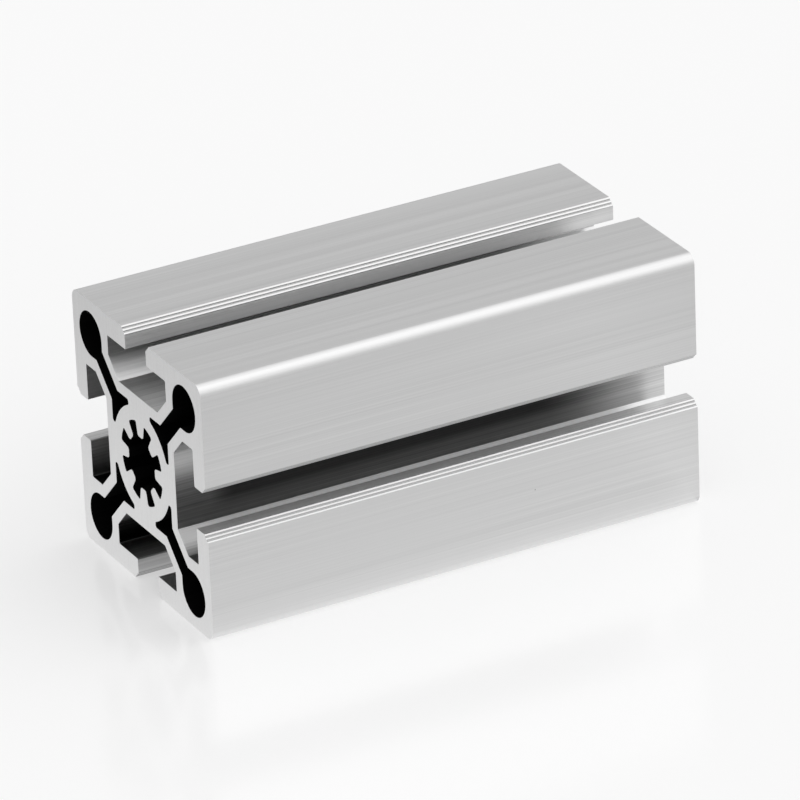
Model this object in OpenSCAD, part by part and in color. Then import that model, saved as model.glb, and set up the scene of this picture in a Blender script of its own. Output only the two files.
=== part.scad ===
// One piece of square aluminium extrusion with four T-slots, cut to length.
// The bar lies along X on one of its sides, the middle of its underside is at the origin and up is +Z.

/* [Overall size] */
// length of the cut piece
length = 100; // [20:1:3000]
// outer side of the square section
side = 50; // [41:1:80]
// rounding of the four long outer corners
outer_radius = 2; // [0.5:0.1:2.4]

/* [Slots] */
// clear width of a slot between its two lips
slot_mouth = 8.1; // [6:0.1:12]
// thickness of the lips on both sides of a slot
lip = 4.2; // [3:0.1:6]
// depth of a slot from the outer face to its floor
slot_depth = 11.85; // [9.5:0.05:14.5]
// small rounding at the inner corners of the slots and under the lips
inner_radius = 0.3; // [0.1:0.05:0.8]
// leg of the 45 degree edge along each lip
edge_leg = 1.25; // [1:0.05:2]
// height and depth of each of the two fine steps cut into that edge
step = 0.29; // [0.15:0.01:0.4]

/* [Corner hollows and webs] */
// diameter of the round hollow in each corner
hollow_diameter = 8.8; // [6:0.1:11]
// metal between a corner hollow and the outer faces
skin = 2.4; // [1.5:0.1:4]
// metal between a corner hollow and the slots beside it
slot_web = 2.5; // [1.5:0.1:4]
// width of the channel between the two diagonal webs
channel = 3.65; // [2:0.05:5]
// thickness of each diagonal web
diagonal_web = 2.13; // [1.5:0.01:3]
// metal under the slot floors
floor_wall = 2.2; // [1.5:0.05:3]
// width of the solid bridges that join the ring to the slot floors
bridge = 8.25; // [4:0.05:12]
// rounding of the inner pockets' thin ends beside the bridges
pocket_radius = 0.5; // [0.2:0.05:0.6]

/* [Core bore] */
// clear diameter between the tips of opposite teeth
core_bore = 10.2; // [8:0.1:12.4]
// height of the teeth, from their tips to the bottom of the grooves
tooth_height = 2.9; // [2:0.1:3.6]
// number of teeth
tooth_count = 8; // [6:1:10]
// thickness of the ring behind the grooves
ring_wall = 2.75; // [2:0.05:4]
// rounding of the tooth tips
tooth_radius = 0.7; // [0.1:0.02:0.7]
// rounding at the bottom of the grooves
groove_radius = 0.4; // [0.1:0.02:0.4]

/* [Hidden] */
$fn = 96;
half = side / 2;
// corner hollow, a circle between the skins and the slots' side walls
hollow_radius = hollow_diameter / 2;
hollow_centre = half - skin - hollow_radius;
hollow_near = hollow_centre - hollow_radius;
// slot lines, as distances from the middle of the section
mouth_half = slot_mouth / 2;
inner_half = hollow_near - slot_web;
lip_inside = half - lip;
slot_floor = half - slot_depth;
// the slots' 45 degree walls keep the diagonal webs at their thickness
slope_offset = (channel / 2 + diagonal_web) * sqrt(2);
wall_end = inner_half + slope_offset;
floor_half = slot_floor - slope_offset;
// stepped edge: three narrow 45 degree lands with two right-angled steps between them
land = (edge_leg - 2 * step) / 3;
// core bore and the ring around it
tip_radius = core_bore / 2;
root_radius = tip_radius + tooth_height;
ring_radius = root_radius + ring_wall;
tooth_half = 360 / tooth_count / 4;
tip_centre = tip_radius + tooth_radius;
tip_turn = asin(tooth_radius / tip_centre);
root_centre = root_radius - groove_radius;
root_turn = asin(groove_radius / root_centre);
// inner pockets between the ring, the slot floors and the bridges
pocket_near = bridge / 2;
pocket_far = slot_floor - floor_wall;
end_across = pocket_near + pocket_radius;
end_low = sqrt(pow(ring_radius + pocket_radius, 2) - pow(end_across, 2));
// channel from a pocket to its corner hollow, along the diagonal
channel_length = hollow_centre * sqrt(2) - ring_radius;
// how far cutting shapes run past what they cut
over = 1;
// how far a rounding crosses the walls it runs into, too little to be seen
hair = 0.002;
// right half of the outline of the slot in the top face, from its opening to its floor
half_outline = [
    [mouth_half + edge_leg, half + over],
    [mouth_half + edge_leg, half],
    [mouth_half + edge_leg - land, half - land],
    [mouth_half + edge_leg - land, half - land - step],
    [mouth_half + edge_leg - land - step, half - land - step],
    [mouth_half + land + step, half - 2 * land - step],
    [mouth_half + land + step, half - edge_leg + land],
    [mouth_half + land, half - edge_leg + land],
    [mouth_half, half - edge_leg],
    [mouth_half, lip_inside],
    [inner_half, lip_inside],
    [inner_half, wall_end],
    [floor_half, slot_floor]
];

function polar(radius, angle) = [radius * cos(angle), radius * sin(angle)];

// what a rounding takes off a square corner whose arms run along +x and +y
module square_corner(radius) {
    difference() {
        square(radius);
        translate([radius, radius]) circle(radius + hair);
    }
}

// cross-section of the slot in the top face, running past it
module slot() {
    difference() {
        polygon(concat(
            [for (p = half_outline) p],
            [for (i = [len(half_outline) - 1 : -1 : 0]) [-half_outline[i][0], half_outline[i][1]]]
        ));
        for (way = [-1, 1]) {
            translate([way * inner_half, lip_inside]) rotate(way > 0 ? 180 : 270) square_corner(inner_radius);
        }
    }
}

// the rounding under the lips of that slot
module lip_roundings() {
    translate([mouth_half, lip_inside]) square_corner(inner_radius);
    translate([-mouth_half, lip_inside]) rotate(90) square_corner(inner_radius);
}

// hollow in the corner up and to the right
module hollow() {
    translate([hollow_centre, hollow_centre]) circle(hollow_radius);
    translate([hollow_near + hair, hollow_near + hair]) square(hollow_radius);
}

// channel from that hollow to the inner pocket
module web_channel() {
    rotate(45) translate([ring_radius, -channel / 2]) square([channel_length, channel]);
}

// what rounds the thin end of a pocket, at the slot floor and at the ring
module pocket_end() {
    translate([pocket_near, pocket_far]) rotate(270) square_corner(pocket_radius);
    difference() {
        polygon([[end_across, end_low], [pocket_near - over, end_low], [0, 0]]);
        translate([end_across, end_low]) circle(pocket_radius + hair);
    }
}

// pocket between ring, slot floors and bridges, up and to the right
module pocket() {
    difference() {
        translate([pocket_near, pocket_near]) square(pocket_far - pocket_near);
        circle(ring_radius);
        pocket_end();
        mirror([1, -1]) pocket_end();
    }
}

// what rounds one corner of a tooth's tip, the tooth lying along +x
module tip_corner() {
    inner = tooth_half - tip_turn;
    outer = tooth_half + tip_turn;
    difference() {
        polygon([
            polar(tip_centre, inner),
            polar(tip_radius - over, inner),
            polar(tip_radius - over, outer),
            polar(tip_centre * cos(tip_turn), outer),
            polar(tip_centre * cos(tip_turn), tooth_half)
        ]);
        translate(polar(tip_centre, inner)) circle(tooth_radius + hair);
    }
}

// metal that rounds the bottom of the groove beside that tooth
module groove_corner() {
    inner = tooth_half - root_turn;
    outer = tooth_half + root_turn;
    difference() {
        polygon([
            polar(root_centre, outer),
            polar(root_centre * cos(root_turn), tooth_half),
            polar(root_centre * cos(root_turn), inner),
            polar(root_radius + over, inner),
            polar(root_radius + over, outer)
        ]);
        translate(polar(root_centre, outer)) circle(groove_radius + hair);
    }
}

// one tooth of the core bore, lying along +x
module tooth() {
    difference() {
        polygon([[0, 0], polar(2 * root_radius, -tooth_half), polar(2 * root_radius, tooth_half)]);
        circle(tip_radius);
        tip_corner();
        mirror([0, 1]) tip_corner();
    }
}

// the open space of the core bore
module toothed_bore() {
    difference() {
        circle(root_radius);
        for (turn = [0 : tooth_count - 1]) {
            rotate(360 / tooth_count * turn) {
                tooth();
                groove_corner();
                mirror([0, 1]) groove_corner();
            }
        }
    }
}

// the square with its four slots
module slotted_square() {
    difference() {
        translate([-half, -half]) square(side);
        for (turn = [0 : 3]) {
            rotate(90 * turn) {
                translate([-half, -half]) square_corner(outer_radius);
                slot();
                lip_roundings();
            }
        }
    }
}

module section() {
    difference() {
        slotted_square();
        for (turn = [0 : 3]) {
            rotate(90 * turn) {
                hollow();
                web_channel();
                pocket();
            }
        }
        toothed_bore();
    }
}

// the whole bar, sawn square at both ends
module profile() {
    color("silver") translate([-length / 2, 0, half]) rotate([90, 0, 90]) linear_extrude(length) section();
}

profile();
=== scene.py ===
import math

import bmesh
import bpy
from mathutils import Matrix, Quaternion, Vector


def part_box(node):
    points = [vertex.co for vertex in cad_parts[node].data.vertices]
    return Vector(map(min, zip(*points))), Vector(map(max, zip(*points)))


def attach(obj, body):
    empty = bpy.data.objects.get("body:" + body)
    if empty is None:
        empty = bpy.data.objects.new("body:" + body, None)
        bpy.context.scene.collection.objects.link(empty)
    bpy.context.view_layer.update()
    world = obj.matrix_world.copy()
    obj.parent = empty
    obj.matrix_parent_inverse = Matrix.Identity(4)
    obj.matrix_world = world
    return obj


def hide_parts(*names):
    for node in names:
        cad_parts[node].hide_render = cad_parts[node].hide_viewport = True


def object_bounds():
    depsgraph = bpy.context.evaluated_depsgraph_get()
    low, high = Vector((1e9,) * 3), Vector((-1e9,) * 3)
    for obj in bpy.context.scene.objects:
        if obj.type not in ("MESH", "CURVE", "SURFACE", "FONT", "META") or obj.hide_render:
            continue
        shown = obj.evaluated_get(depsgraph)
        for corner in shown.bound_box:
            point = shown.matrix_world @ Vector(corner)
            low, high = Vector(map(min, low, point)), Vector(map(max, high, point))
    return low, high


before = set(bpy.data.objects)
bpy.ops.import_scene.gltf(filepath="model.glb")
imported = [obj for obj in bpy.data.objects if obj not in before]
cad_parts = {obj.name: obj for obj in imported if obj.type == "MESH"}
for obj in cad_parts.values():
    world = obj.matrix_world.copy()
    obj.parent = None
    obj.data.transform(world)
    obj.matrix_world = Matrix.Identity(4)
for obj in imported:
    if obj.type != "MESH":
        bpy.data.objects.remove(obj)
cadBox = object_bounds()
barMiddle = (cadBox[0] + cadBox[1]) / 2
barReach = (cadBox[1] - cadBox[0]) / 2
millimetre = 0.001
white = (1, 1, 1, 1)


# fills a node's inputs with values or links
def fill(tree, node, inputs):
    for key, value in inputs.items():
        if isinstance(value, bpy.types.NodeSocket):
            tree.links.new(value, node.inputs[key])
        else:
            node.inputs[key].default_value = value


# adds a node, sets its properties and fills its inputs
def place(tree, kind, inputs=None, **settings):
    node = tree.nodes.new(kind)
    for name, value in settings.items():
        setattr(node, name, value)
    fill(tree, node, inputs or {})
    return node


def calculate(tree, operation, *values):
    return place(tree, "ShaderNodeMath", dict(enumerate(values)), operation=operation).outputs[0]


# the operation on the first two values, then on the result and each further value
def calculateAll(tree, operation, first, *others):
    for other in others:
        first = calculate(tree, operation, first, other)
    return first


def invert(tree, mask):
    return calculate(tree, "SUBTRACT", 1.0, mask)


def calculateVector(tree, operation, *values, output="Vector"):
    node = place(tree, "ShaderNodeVectorMath", dict(enumerate(values)), operation=operation)
    return node.outputs[output]


def scaleVector(tree, vector, factor):
    node = place(tree, "ShaderNodeVectorMath", {0: vector, "Scale": factor}, operation="SCALE")
    return node.outputs["Vector"]


def combine(tree, **axes):
    return place(tree, "ShaderNodeCombineXYZ", axes).outputs[0]


def separate(tree, vector):
    return place(tree, "ShaderNodeSeparateXYZ", {"Vector": vector}).outputs


def mapRange(tree, value, given, wanted, curve="LINEAR"):
    return place(tree, "ShaderNodeMapRange", {
        "Value": value, "From Min": given[0], "From Max": given[1], "To Min": wanted[0], "To Max": wanted[1],
    }, interpolation_type=curve).outputs[0]


def smoothStep(tree, value, limits, top=1.0):
    return mapRange(tree, value, limits, (0.0, top), "SMOOTHSTEP")


def greyOf(tree, value):
    return place(tree, "ShaderNodeCombineColor", {"Red": value, "Green": value, "Blue": value}).outputs[0]


def objectPosition(tree):
    return place(tree, "ShaderNodeTexCoord").outputs["Object"]


def addSockets(tree, way, sockets):
    for name, kind in sockets.items():
        tree.interface.new_socket(name, in_out=way, socket_type=kind)


# camera at the photograph's viewing angle
viewpoint = {
    "lens": 339.83,  # in mm, as the sensor
    "sensor": 36,
    "clip": 100,
    "aim": Vector((1.68, -1.26, 24.31)) * millimetre,  # close to the middle of the bar
    "distance": 1.364,
    "azimuth": math.radians(27.70),  # 0 looks along +Y
    "elevation": math.radians(25.82),
    "roll": math.radians(-2.39),
}


def makeCamera(settings):
    level = math.cos(settings["elevation"])
    forward = Vector((
        level * math.sin(settings["azimuth"]),
        level * math.cos(settings["azimuth"]),
        -math.sin(settings["elevation"]),
    ))
    lens = bpy.data.cameras.new("photoCamera")
    lens.sensor_fit = "HORIZONTAL"
    lens.sensor_width = settings["sensor"]
    lens.lens = settings["lens"]
    lens.clip_end = settings["clip"]
    camera = bpy.data.objects.new("photoCamera", lens)
    camera.rotation_mode = "QUATERNION"
    roll = Quaternion((0, 0, 1), settings["roll"])
    camera.rotation_quaternion = forward.to_track_quat("-Z", "Y") @ roll
    camera.location = settings["aim"] - settings["distance"] * forward
    bpy.context.scene.collection.objects.link(camera)
    bpy.context.scene.camera = camera
    print("camera at", [round(v, 3) for v in camera.location])


# Principled material with its constant finish set on the shader's own sockets
def makeMaterial(name, finish):
    material = bpy.data.materials.new(name)
    material.use_nodes = True
    tree = material.node_tree
    shader = tree.nodes["Principled BSDF"]
    fill(tree, shader, finish)
    return material, tree, shader


noiseFalloff = 0.6  # of its finer parts
noiseMean = 0.5
noiseRange = (0.3, 0.7)  # nearly all of it lies between these


# shader group: noise drawn out along one direction into lines
def lineGroup():
    tree = bpy.data.node_groups.new("drawnLines", "ShaderNodeTree")
    addSockets(tree, "INPUT", {
        "Position": "NodeSocketVector", "Cell": "NodeSocketVector", "Detail": "NodeSocketFloat",
    })
    addSockets(tree, "OUTPUT", {"Lines": "NodeSocketFloat"})
    given = place(tree, "NodeGroupInput").outputs
    stretched = calculateVector(tree, "DIVIDE", given["Position"], given["Cell"])
    noise = place(tree, "ShaderNodeTexNoise", {
        "Vector": stretched, "Scale": 1.0, "Detail": given["Detail"], "Roughness": noiseFalloff,
    })
    place(tree, "NodeGroupOutput", {"Lines": noise.outputs[0]})
    return tree


# shader group: a few tiny specks, one at most in each cell
def speckGroup():
    tree = bpy.data.node_groups.new("specks", "ShaderNodeTree")
    addSockets(tree, "INPUT", {
        "Position": "NodeSocketVector", "Spacing": "NodeSocketFloat", "Size": "NodeSocketFloat",
    })
    addSockets(tree, "OUTPUT", {"Specks": "NodeSocketFloat"})
    given = place(tree, "NodeGroupInput").outputs
    frequency = calculate(tree, "DIVIDE", 1.0, given["Spacing"])
    cells = place(tree, "ShaderNodeTexVoronoi", {"Vector": given["Position"], "Scale": frequency})
    reach = calculate(tree, "DIVIDE", given["Size"], given["Spacing"])
    inside = calculate(tree, "LESS_THAN", cells.outputs["Distance"], reach)
    place(tree, "NodeGroupOutput", {"Specks": inside})
    return tree


lines = lineGroup()
specks = speckGroup()


def useGroup(tree, group, inputs):
    return place(tree, "ShaderNodeGroup", inputs, node_tree=group).outputs[0]


# lines of one layer, which gives their cell and detail
def linesOf(tree, position, layer):
    return useGroup(tree, lines, {"Position": position, **layer})


def spread(tree, noise, limits):
    return mapRange(tree, noise, noiseRange, limits)


def bumpOf(tree, height, settings):
    return place(tree, "ShaderNodeBump", {
        "Height": height, "Strength": settings["bump"], "Distance": settings["depth"],
    }).outputs[0]


# drawn sides: satin aluminium with fine lines left by the die along the bar, with painted shade and painted
# light in and around the slots
sideFinishAndPaintedLight = {
    "fine": {"Cell": Vector((150, 0.32, 0.32)) * millimetre, "Detail": 1.0},
    "bands": {"Cell": Vector((220, 1.2, 1.2)) * millimetre, "Detail": 2.0},
    "streaks": {"Cell": Vector((400, 5, 5)) * millimetre, "Detail": 1.0},
    "patches": {"Cell": Vector((45, 9, 9)) * millimetre, "Detail": 1.0},  # of faint and of strong lines
    "shares": (0.55, 0.25, 0.2),  # of fine lines, bands and streaks in the tone
    "grey": 0.74,
    "contrast": (0.08, 0.32),  # of the tone, from the faint patches to the strong ones
    "slotContrast": 1.5,  # more of it on the faces of the slots
    "darkContrast": 4.0,  # and where the painted slot shade darkens them
    "roughness": (0.3, 0.34),
    "acrossStretch": 0.92,  # the lines spread reflections across the bar and hardly along it
    "bump": 0.5,
    "depth": 0.005 * millimetre,
    "speckSpacing": 9 * millimetre,
    "speckSize": 0.13 * millimetre,
    # what the grey is multiplied by in places: painted shade and painted light in and around the slots, and
    # the metal's own specks
    "places": {
        "step": 0.74,  # painted shade: square faces of the stepped edges made darker
        "lip": 1.3,  # painted light: faces of the mouths towards the light made lighter
        "slot": 0.56,  # painted shade: square faces inside the slots made darker, where little light comes in
        "slope": 1.35,  # painted light: slanting faces there made lighter near the near end
        "shadow": 0.15,  # painted shadow of the upper lip, in the front slot
        "deep": 0.03,  # painted shade: the parts that turn black in the slots away from the light
        "corner": 0.5,  # painted shade: side walls of the slots made darker
        "speck": 0.5,
    },
    # where those places begin and are full, as depth below the sides, distance from a slot's middle
    # plane, height above the bar's middle and distance from its ends
    "squareTurn": 0.95,  # cosine from which a face counts as square to the bar
    "stepReach": 5.35 * millimetre,
    "lipDepth": (1.35 * millimetre, 1.5 * millimetre),
    "slotDepth": (3.9 * millimetre, 4.5 * millimetre),
    "nearEnd": (0, 12 * millimetre),
    "farEnd": (-8 * millimetre, 28 * millimetre),
    "openHeight": (0, 6.5 * millimetre),  # the front slot stays light above it
    "shadowHeight": (-7.2 * millimetre, -2.8 * millimetre),
    "nearShadow": 0.6,  # strength of the painted shadow at the near end
    "deepReach": (22 * millimetre, 31.5 * millimetre),  # down and back from the bar's middle
    "cornerReach": (9.3 * millimetre, 11.5 * millimetre),
    "cornerDepth": (4.4 * millimetre, 5.2 * millimetre),
}


# masks of the painted shade and painted light in and around the slots, and of all faces of the slots
def paintedLightMasks(tree, position, facing, settings):
    away = calculateVector(tree, "SUBTRACT", position, barMiddle)
    along, aside, up = separate(tree, away)
    size = separate(tree, calculateVector(tree, "ABSOLUTE", away))
    depth = calculate(tree, "SUBTRACT", barReach.y, calculate(tree, "MAXIMUM", size["Y"], size["Z"]))
    across = calculate(tree, "MINIMUM", size["Y"], size["Z"])
    turned = separate(tree, calculateVector(tree, "ABSOLUTE", facing))
    turn = calculate(tree, "MAXIMUM", turned["Y"], turned["Z"])
    square = calculate(tree, "GREATER_THAN", turn, settings["squareTurn"])
    inMouth = smoothStep(tree, depth, settings["lipDepth"])
    inSlot = smoothStep(tree, depth, settings["slotDepth"])
    fromNear = smoothStep(tree, calculate(tree, "ADD", along, barReach.x), settings["nearEnd"])
    fromFar = smoothStep(tree, calculate(tree, "SUBTRACT", barReach.x, along), settings["farEnd"])
    # the upper and the front slot are towards the light, the back and the lower slot away from it
    shade = calculate(tree, "SUBTRACT", aside, up)
    towards = calculate(tree, "LESS_THAN", shade, 0.0)
    inFront = calculate(tree, "LESS_THAN", up, barReach.z / 2)
    front = calculate(tree, "MULTIPLY", towards, inFront)
    opened = calculate(tree, "MULTIPLY", towards, smoothStep(tree, up, settings["openHeight"]))
    upperInside = calculate(tree, "MULTIPLY", fromNear, invert(tree, front))
    closed = calculate(tree, "MAXIMUM", upperInside, invert(tree, opened))
    # where the grey is painted darker as shade or lighter as light, each by its place
    factors = {
        "step": (square, calculate(tree, "LESS_THAN", across, settings["stepReach"]), invert(tree, inMouth)),
        "lip": (inMouth, invert(tree, inSlot), square, fromFar, towards),
        "slot": (inSlot, square, closed, fromFar),
        "slope": (inSlot, invert(tree, square), invert(tree, fromNear)),
        "shadow": (
            inSlot, square, closed, fromFar, front, fromFar,
            smoothStep(tree, up, settings["shadowHeight"]),
            calculate(tree, "MAXIMUM", fromNear, settings["nearShadow"]),
        ),
        "deep": (inSlot, smoothStep(tree, shade, settings["deepReach"])),
        "corner": (
            fromFar,
            smoothStep(tree, across, settings["cornerReach"]),
            smoothStep(tree, depth, settings["cornerDepth"]),
        ),
    }
    return {name: calculateAll(tree, "MULTIPLY", *parts) for name, parts in factors.items()}, inMouth


def drawnSides(settings):
    finish = {"Metallic": 1.0, "Anisotropic": settings["acrossStretch"]}
    material, tree, shader = makeMaterial("drawnSides", finish)
    position = objectPosition(tree)
    facing = place(tree, "ShaderNodeNewGeometry").outputs["Normal"]
    layers = ("fine", "bands", "streaks", "patches")
    fine, bands, streaks, patches = [linesOf(tree, position, settings[layer]) for layer in layers]
    parts = [calculate(tree, "MULTIPLY", *pair) for pair in zip((fine, bands, streaks), settings["shares"])]
    tone = calculateAll(tree, "ADD", *parts, -noiseMean)
    masks, inMouth = paintedLightMasks(tree, position, facing, settings)
    masks["speck"] = useGroup(tree, specks, {
        "Position": position, "Spacing": settings["speckSpacing"], "Size": settings["speckSize"],
    })
    contrast = spread(tree, patches, settings["contrast"])
    more = calculateAll(
        tree, "ADD", 1.0,
        calculate(tree, "MULTIPLY", inMouth, settings["slotContrast"]),
        calculate(tree, "MULTIPLY", masks["slot"], settings["darkContrast"]),
    )
    grey = calculate(tree, "ADD", settings["grey"], calculateAll(tree, "MULTIPLY", tone, contrast, more))
    # the painted shade and painted light of those places, and the specks, multiply the grey
    for name, mask in masks.items():
        change = calculate(tree, "MULTIPLY", mask, settings["places"][name] - 1)
        grey = calculate(tree, "MULTIPLY", grey, calculate(tree, "ADD", 1.0, change))
    fill(tree, shader, {
        "Base Color": greyOf(tree, grey),
        "Roughness": spread(tree, bands, settings["roughness"]),
        "Tangent": calculateVector(tree, "CROSS_PRODUCT", facing, (1, 0, 0)),
        "Normal": bumpOf(tree, calculate(tree, "ADD", fine, bands), settings),
    })
    return material


# sawn ends: bare bright metal with faint marks of the saw, nearly upright
sawnFinish = {
    "marks": {"Cell": Vector((1, 0.35, 30)) * millimetre, "Detail": 2.0},
    "grain": {"Cell": Vector((0.5, 0.5, 0.5)) * millimetre, "Detail": 3.0},
    "grey": (0.9, 0.98),
    "roughness": (0.35, 0.45),
    "bump": 0.4,
    "depth": 0.004 * millimetre,
}


def sawnMetal(settings):
    material, tree, shader = makeMaterial("sawnMetal", {"Metallic": 1.0})
    position = objectPosition(tree)
    marks = linesOf(tree, position, settings["marks"])
    grain = linesOf(tree, position, settings["grain"])
    tone = calculate(tree, "DIVIDE", calculate(tree, "ADD", marks, grain), 2.0)
    fill(tree, shader, {
        "Base Color": greyOf(tree, spread(tree, tone, settings["grey"])),
        "Roughness": spread(tree, grain, settings["roughness"]),
        "Normal": bumpOf(tree, marks, settings),
    })
    return material


# walls of the hollows and the core bore, painted near black as shade
hollowShadeSettings = {
    "lines": {"Cell": Vector((40, 0.5, 0.5)) * millimetre, "Detail": 2.0},
    "grey": (0.001, 0.003),
    "roughness": (0.6, 0.8),
    "specular": 0.05,
}


def paintedHollowShade(settings):
    finish = {"Metallic": 0.0, "Specular IOR Level": settings["specular"]}
    material, tree, shader = makeMaterial("paintedHollowShade", finish)
    drawn = linesOf(tree, objectPosition(tree), settings["lines"])
    # painted shade: near black stands in for the dark inside the hollows
    fill(tree, shader, {
        "Base Color": greyOf(tree, spread(tree, drawn, settings["grey"])),
        "Roughness": spread(tree, drawn, settings["roughness"]),
    })
    return material


# the bar: outlines of its sawn end, taken from the CAD node, and drawn out to its length
bar = {
    "weld": 0.001 * millimetre,
    "cornerRounding": 0.05 * millimetre,
    "sharpTurn": math.radians(20),
    "roundingPoints": 3,
    "edgeBreak": 0.04 * millimetre,
    "unevenness": 0.4,  # share of the edge break that the noise takes away at most
    "unevenLength": 3 * millimetre,
    "unevenDetail": 2.0,
    "flatWeight": 100,  # how far larger faces decide the direction of the roundings beside them
}


# closed outlines of the end at low X as (across, up) points, the metal on their left, the outer one first
def endOutlines(node, weld):
    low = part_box(node.name)[0].x
    mesh = bmesh.new()
    mesh.from_mesh(node.data)
    bmesh.ops.remove_doubles(mesh, verts=mesh.verts, dist=weld)
    endFaces = [face for face in mesh.faces if all(vert.co.x < low + weld for vert in face.verts)]
    before = {
        corner.link_loop_next.vert: corner.vert
        for face in endFaces for corner in face.loops
        if corner.link_loop_radial_next.face not in endFaces
    }
    outlines = []
    while before:
        outline = []
        vert = next(iter(before))
        while vert in before:
            outline.append((vert.co.y, vert.co.z))
            vert = before.pop(vert)
        outlines.append(outline)
    mesh.free()
    outlines.sort(key=min)
    return outlines


def outlineCurve(name, outlines):
    curve = bpy.data.curves.new(name, "CURVE")
    curve.dimensions = "3D"
    for outline in outlines:
        spline = curve.splines.new("POLY")
        spline.points.add(len(outline) - 1)
        for point, (across, up) in zip(spline.points, outline):
            point.co = (across, up, 0, 1)
        spline.use_cyclic_u = True
    holder = bpy.data.objects.new(name, curve)
    bpy.context.scene.collection.objects.link(holder)
    return holder


# attributes that barTree keeps for its own use, and that bake takes off the mesh
workNames = {"step": "edgeBreakStep", "hollow": "inHollow", "sawn": "sawn", "cap": "flatEnd"}


# geometry tree: rounds the outlines' sharp corners, draws them out, breaks the sawn edges, closes the ends
def barTree():
    tree = bpy.data.node_groups.new("sawnBar", "GeometryNodeTree")
    addSockets(tree, "INPUT", {
        "Outlines": "NodeSocketGeometry",
        "Length": "NodeSocketFloat",
        "Low end": "NodeSocketFloat",
        "Corner rounding": "NodeSocketFloat",
        "Sharp turn": "NodeSocketFloat",
        "Rounding points": "NodeSocketInt",
        "Edge break": "NodeSocketFloat",
        "Unevenness": "NodeSocketFloat",
        "Uneven length": "NodeSocketFloat",
        "Uneven detail": "NodeSocketFloat",
        "Weld": "NodeSocketFloat",
        "Sides": "NodeSocketMaterial",
        "Sawn metal": "NodeSocketMaterial",
        "Hollow walls": "NodeSocketMaterial",
    })
    addSockets(tree, "OUTPUT", {"Bar": "NodeSocketGeometry"})
    given = place(tree, "NodeGroupInput").outputs
    here = place(tree, "GeometryNodeInputPosition").outputs[0]

    def direction(step):
        index = place(tree, "GeometryNodeOffsetPointInCurve", {"Offset": step}).outputs["Point Index"]
        other = place(
            tree, "GeometryNodeFieldAtIndex", {"Index": index, "Value": here},
            data_type="FLOAT_VECTOR", domain="POINT",
        ).outputs[0]
        return calculateVector(tree, "NORMALIZE", calculateVector(tree, "SUBTRACT", other, here))

    # a straight run has its two neighbours in opposite directions
    fold = calculateVector(tree, "DOT_PRODUCT", direction(-1), direction(1), output="Value")
    straightness = calculate(tree, "MULTIPLY", fold, -1.0)
    sharp = calculate(tree, "LESS_THAN", straightness, calculate(tree, "COSINE", given["Sharp turn"]))
    rounded = place(tree, "GeometryNodeFilletCurve", {
        "Curve": given["Outlines"],
        "Radius": calculate(tree, "MULTIPLY", sharp, given["Corner rounding"]),
        "Count": calculate(tree, "MULTIPLY", sharp, given["Rounding points"]),
        "Limit Radius": True,
    }, mode="POLY").outputs[0]

    # from each point into the metal, which is on the left of the outline
    tangent = place(tree, "GeometryNodeInputTangent").outputs[0]
    inward = calculateVector(tree, "CROSS_PRODUCT", (0, 0, 1), tangent)
    uneven = place(tree, "ShaderNodeTexNoise", {
        "Vector": here,
        "Scale": calculate(tree, "DIVIDE", 1.0, given["Uneven length"]),
        "Detail": given["Uneven detail"],
    }).outputs[0]
    share = invert(tree, calculate(tree, "MULTIPLY", uneven, given["Unevenness"]))
    depth = calculate(tree, "MULTIPLY", share, given["Edge break"])

    def store(geometry, use, kind, domain, value, selection=True):
        return place(tree, "GeometryNodeStoreNamedAttribute", {
            "Geometry": geometry, "Name": workNames[use], "Value": value, "Selection": selection,
        }, data_type=kind, domain=domain).outputs[0]

    def read(use, kind="FLOAT"):
        named = {"Name": workNames[use]}
        return place(tree, "GeometryNodeInputNamedAttribute", named, data_type=kind).outputs[0]

    # 1 where a number stands for yes
    def isSet(value):
        return calculate(tree, "GREATER_THAN", value, 0.5)

    # the outer outline is number 0
    inHollow = isSet(place(tree, "GeometryNodeCurveOfPoint").outputs["Curve Index"])
    marked = store(rounded, "step", "FLOAT_VECTOR", "POINT", scaleVector(tree, inward, depth))
    marked = store(marked, "hollow", "FLOAT", "POINT", inHollow)
    step = read("step", "FLOAT_VECTOR")
    shrunk = place(tree, "GeometryNodeSetPosition", {"Geometry": marked, "Offset": step}).outputs[0]

    # rings of the wall from the low end to the high end, each drawn from the one before
    wall = place(tree, "GeometryNodeCurveToMesh", {"Curve": shrunk}).outputs[0]
    back = scaleVector(tree, step, -1.0)
    breakDepth = given["Edge break"]
    middle = calculate(tree, "SUBTRACT", given["Length"], calculate(tree, "MULTIPLY", breakDepth, 2.0))
    ring = True
    for run, shift, sawn in ((breakDepth, back, 1.0), (middle, None, 0.0), (breakDepth, step, 1.0)):
        drawn = place(tree, "GeometryNodeExtrudeMesh", {
            "Mesh": wall, "Selection": ring, "Offset": combine(tree, Z=run), "Offset Scale": 1.0,
        }, mode="EDGES").outputs
        wall = drawn["Mesh"]
        ring = drawn["Top"]
        if shift is not None:
            wall = place(tree, "GeometryNodeSetPosition", {
                "Geometry": wall, "Selection": ring, "Offset": shift,
            }).outputs[0]
        wall = store(wall, "sawn", "FLOAT", "FACE", sawn, drawn["Side"])

    wall = place(tree, "GeometryNodeFlipFaces", {"Mesh": wall}).outputs[0]
    cap = place(tree, "GeometryNodeFillCurve", {"Curve": shrunk}, mode="TRIANGLES").outputs[0]
    for use in ("sawn", "cap"):
        cap = store(cap, use, "FLOAT", "FACE", 1.0)
    lowCap = place(tree, "GeometryNodeFlipFaces", {"Mesh": cap}).outputs[0]
    highCap = place(tree, "GeometryNodeTransform", {
        "Geometry": cap, "Translation": combine(tree, Z=given["Length"]),
    }).outputs[0]
    joined = place(tree, "GeometryNodeJoinGeometry")
    for part in (wall, lowCap, highCap):
        tree.links.new(part, joined.inputs[0])
    closed = place(tree, "GeometryNodeMergeByDistance", {
        "Geometry": joined.outputs[0], "Distance": given["Weld"],
    }).outputs[0]

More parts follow.
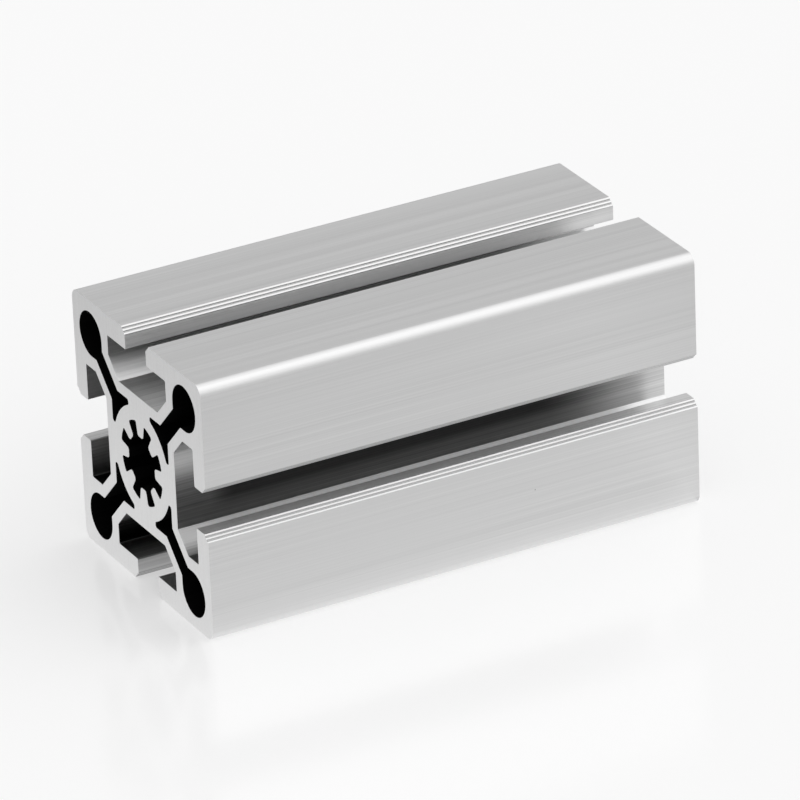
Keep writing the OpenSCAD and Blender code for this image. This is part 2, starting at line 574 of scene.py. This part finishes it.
    # the outlines' (across, up) becomes (Y, Z) and the drawn direction becomes X
    laid = place(tree, "GeometryNodeTransform", {
        "Geometry": closed,
        "Translation": combine(tree, X=given["Low end"]),
        "Rotation": (math.pi / 2, 0, math.pi / 2),
    }).outputs[0]
    finished = place(tree, "GeometryNodeSetShadeSmooth", {
        "Geometry": laid, "Shade Smooth": invert(tree, isSet(read("cap"))),
    }).outputs[0]
    finished = place(tree, "GeometryNodeRealizeInstances", {"Geometry": finished}).outputs[0]
    sawnFace = isSet(read("sawn"))
    insideFace = isSet(read("hollow"))
    plainInside = isSet(calculate(tree, "SUBTRACT", insideFace, sawnFace))
    for name, faces in (("Sides", True), ("Hollow walls", plainInside), ("Sawn metal", sawnFace)):
        finished = place(tree, "GeometryNodeSetMaterial", {
            "Geometry": finished, "Selection": faces, "Material": given[name],
        }).outputs[0]
    place(tree, "NodeGroupOutput", {"Bar": finished})
    return tree


# plain mesh object from what an object's modifiers make
def bake(holder, name):
    evaluated = holder.evaluated_get(bpy.context.evaluated_depsgraph_get())
    mesh = bpy.data.meshes.new_from_object(evaluated)
    bpy.data.objects.remove(holder)
    if mesh.materials[0] is None:
        mesh.materials.pop(index=0)
    for attribute in workNames.values():
        if attribute in mesh.attributes:
            mesh.attributes.remove(mesh.attributes[attribute])
    mesh.name = name
    piece = bpy.data.objects.new(name, mesh)
    bpy.context.scene.collection.objects.link(piece)
    return piece


# flat faces keep their own direction and the roundings between them turn smoothly
def settleNormals(piece, weight):
    weights = piece.modifiers.new("faceWeights", "WEIGHTED_NORMAL")
    weights.weight = weight
    weights.keep_sharp = True
    return bake(piece, piece.name)


def makeBar(settings):
    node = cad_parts["profile"]
    low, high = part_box("profile")
    outlines = endOutlines(node, settings["weld"])
    holder = outlineCurve("barOutlines", outlines)
    tree = barTree()
    modifier = holder.modifiers.new("sawnBar", "NODES")
    modifier.node_group = tree
    values = {
        "Length": high.x - low.x,
        "Low end": low.x,
        "Corner rounding": settings["cornerRounding"],
        "Sharp turn": settings["sharpTurn"],
        "Rounding points": settings["roundingPoints"],
        "Edge break": settings["edgeBreak"],
        "Unevenness": settings["unevenness"],
        "Uneven length": settings["unevenLength"],
        "Uneven detail": settings["unevenDetail"],
        "Weld": settings["weld"],
        "Sides": drawnSides(sideFinishAndPaintedLight),
        "Sawn metal": sawnMetal(sawnFinish),
        "Hollow walls": paintedHollowShade(hollowShadeSettings),
    }
    for socket in tree.interface.items_tree:
        if socket.in_out == "INPUT" and socket.name in values:
            modifier[socket.identifier] = values[socket.name]
    piece = settleNormals(bake(holder, "extrudedBar"), settings["flatWeight"])
    print("bar drawn from", len(outlines), "outlines,", len(piece.data.polygons), "faces")
    return piece


# plain pale floor and soft studio light
studio = {
    "floorSize": 12.0,
    "floorSegments": 4,
    "floorGrey": 0.55,
    "floorRoughness": 0.15,
    "floorLift": 0.46,  # light of its own where the camera sees it, as the photograph is nearly white there
    "mirroredGrey": 0.35,  # its grey in the metal's reflections, where it glows round the bar
    "glowNear": 0.42,
    "glowFar": 0.2,
    "glowReach": 0.12,
    "rimGlow": 0.55,  # more light along the bar's lower edges
    "rimReach": 8 * millimetre,
    "endGlow": 0.1,  # and before its ends
    "endReach": 60 * millimetre,
    "under": 3 * millimetre,  # how far the glow goes under the bar
    "backdrop": 1.0,
    "surround": 0.5,
    "softLight": 0.95,  # added towards the soft light
    "towards": Vector((0.42, -0.35, 0.83)),
    "lightRange": (0.4, 1.0),  # from its outer rim to its full brightness, as cosines
}


# one value where the camera looks straight at it and another in reflections and as light
def seenOrMirrored(tree, seen, mirrored):
    camera = place(tree, "ShaderNodeLightPath").outputs["Is Camera Ray"]
    return place(tree, "ShaderNodeMix", {"Factor": camera, "A": mirrored, "B": seen}).outputs[0]


def makeFloor(settings):
    mesh = bpy.data.meshes.new("floor")
    shape = bmesh.new()
    segments = settings["floorSegments"]
    bmesh.ops.create_grid(shape, x_segments=segments, y_segments=segments, size=settings["floorSize"] / 2)
    shape.to_mesh(mesh)
    shape.free()
    floor = bpy.data.objects.new("floor", mesh)
    bpy.context.scene.collection.objects.link(floor)
    material, tree, shader = makeMaterial("paleFloor", {
        "Roughness": settings["floorRoughness"], "Emission Color": white,
    })
    # distance from the bar's footprint, nothing below the bar itself
    under = settings["under"]
    fromMiddle = calculateVector(tree, "SUBTRACT", objectPosition(tree), (barMiddle.x, barMiddle.y, 0))
    beside = calculateVector(tree, "ABSOLUTE", fromMiddle)
    outside = calculateVector(tree, "SUBTRACT", beside, (barReach.x - under, barReach.y - under, 0))
    outside = calculateVector(tree, "MAXIMUM", outside, (0, 0, 0))
    distance = calculateVector(tree, "LENGTH", outside, output="Value")
    endways, sideways, _ = separate(tree, outside)
    alongside = calculate(tree, "LESS_THAN", endways, under)

    def fading(value, strength, reach):
        faded = mapRange(tree, value, (0.0, reach), (strength, 0.0))
        return calculate(tree, "MULTIPLY", faded, calculate(tree, "GREATER_THAN", value, 0.0))

    rim = fading(sideways, settings["rimGlow"], settings["rimReach"])
    end = fading(endways, settings["endGlow"], settings["endReach"])
    glow = calculateAll(
        tree, "ADD",
        mapRange(tree, distance, (0.0, settings["glowReach"]), (settings["glowNear"], settings["glowFar"])),
        calculate(tree, "MULTIPLY", rim, alongside),
        calculate(tree, "MULTIPLY", end, invert(tree, alongside)),
    )
    grey = seenOrMirrored(tree, settings["floorGrey"], settings["mirroredGrey"])
    fill(tree, shader, {
        "Base Color": greyOf(tree, grey),
        "Emission Strength": seenOrMirrored(tree, settings["floorLift"], glow),
    })
    mesh.materials.append(material)


# light from all round, brighter from one broad side, and an even backdrop for the camera
def makeLight(settings):
    world = bpy.data.worlds.new("studio")
    world.use_nodes = True
    tree = world.node_tree
    direction = place(tree, "ShaderNodeTexCoord").outputs["Generated"]
    towards = settings["towards"].normalized()
    turn = calculateVector(tree, "DOT_PRODUCT", direction, towards, output="Value")
    lamp = smoothStep(tree, turn, settings["lightRange"], settings["softLight"])
    light = calculate(tree, "ADD", lamp, settings["surround"])
    fill(tree, tree.nodes["Background"], {
        "Color": white, "Strength": seenOrMirrored(tree, settings["backdrop"], light),
    })
    bpy.context.scene.world = world


makeCamera(viewpoint)
bpy.context.scene.view_settings.view_transform = "Standard"
piece = makeBar(bar)
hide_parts("profile")
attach(piece, "root")
makeFloor(studio)
makeLight(studio)
print("studio made")
